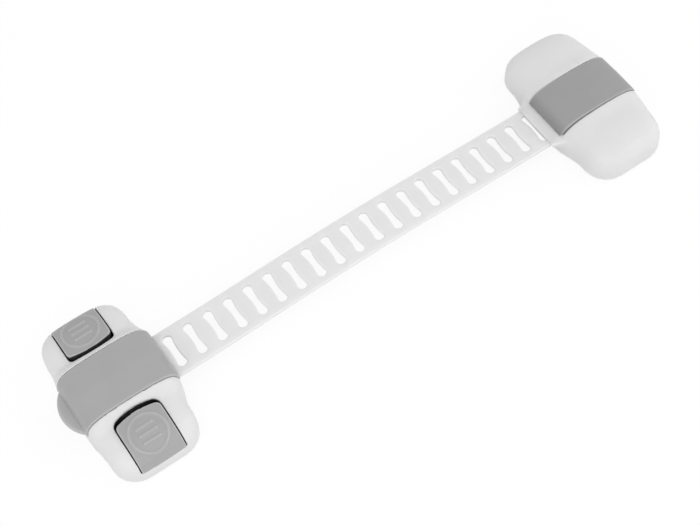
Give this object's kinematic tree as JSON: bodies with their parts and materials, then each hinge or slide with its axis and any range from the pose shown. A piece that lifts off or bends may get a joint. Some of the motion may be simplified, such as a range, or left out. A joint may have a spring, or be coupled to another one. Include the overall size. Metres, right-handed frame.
{
  "type": "cabinet safety lock",
  "caption": "Stick-on cabinet safety lock: a two-button release latch and a hinged-cover anchor joined by a flexible slotted strap.",
  "frame": {"origin": "middle of the latch end's adhesive face, which lies on the door", "axes": "+X along the strap towards the anchor, +Z away from the door"},
  "size_m": [0.2344, 0.062, 0.0172],
  "materials": {
    "housing_white": "satin white moulded shell",
    "strap_white": "soft milky white flexible strap",
    "cover_grey": "satin light grey moulding",
    "button_grey": "satin light grey moulding with raised rim and ribs",
    "tray_grey": "satin grey moulding",
    "clip_white": "natural acetal",
    "plate_grey": "dark grey moulded plate",
    "block_white": "white moulded block",
    "foam_pad": "closed-cell foam tape",
    "steel": "zinc-plated steel"
  },
  "bodies": {
    "lock": {"lock_adhesive_pad": "foam_pad", "lock_base_plate": "plate_grey", "lock_base_screws": "steel", "lock_housing": "housing_white", "button_spring_front": "steel", "button_spring_rear": "steel"},
    "front_button": {"button_front": "button_grey"},
    "rear_button": {"button_rear": "button_grey"},
    "latch": {"latch_cover": "cover_grey", "latch_tray": "tray_grey", "latch_screws": "steel", "catch_clip": "clip_white", "strap_keeper": "block_white", "strap": "strap_white"},
    "anchor": {"anchor_adhesive_pad": "foam_pad", "anchor_base_plate": "plate_grey", "anchor_base_screws": "steel", "anchor_housing": "housing_white", "strap_peg_block": "block_white", "cover_hinge_pin": "steel"},
    "anchor_lid": {"anchor_cover": "cover_grey"}
  },
  "joints": [
    {"name": "button_front_press", "type": "slide", "parent": "lock", "child": "front_button", "axis": [0, 1, 0], "range_m": [0, 0.0016], "stiffness_N_per_m": 400, "springref_m": -0.004, "deforming": ["button_spring_front", "catch_clip"]},
    {"name": "button_rear_press", "type": "slide", "parent": "lock", "child": "rear_button", "axis": [0, -1, 0], "range_m": [0, 0.0016], "stiffness_N_per_m": 400, "springref_m": -0.004, "deforming": ["button_spring_rear", "catch_clip"]},
    {"name": "latch_release", "type": "slide", "parent": "lock", "child": "latch", "axis": [0, 0, 1], "range_m": [0, 0.02], "deforming": ["catch_clip"]},
    {"name": "strap_flex", "type": "hinge", "parent": "latch", "child": "anchor", "pos_m": [0.098, 0, 0.0097], "axis": [0, 1, 0], "range_deg": [-90, 90], "stiffness_Nm_per_rad": 0.02, "deforming": ["strap"]},
    {"name": "anchor_cover_hinge", "type": "hinge", "parent": "anchor", "child": "anchor_lid", "pos_m": [0.20885, 0, 0.0089], "axis": [0, 1, 0], "range_deg": [0, 100]}
  ]
}
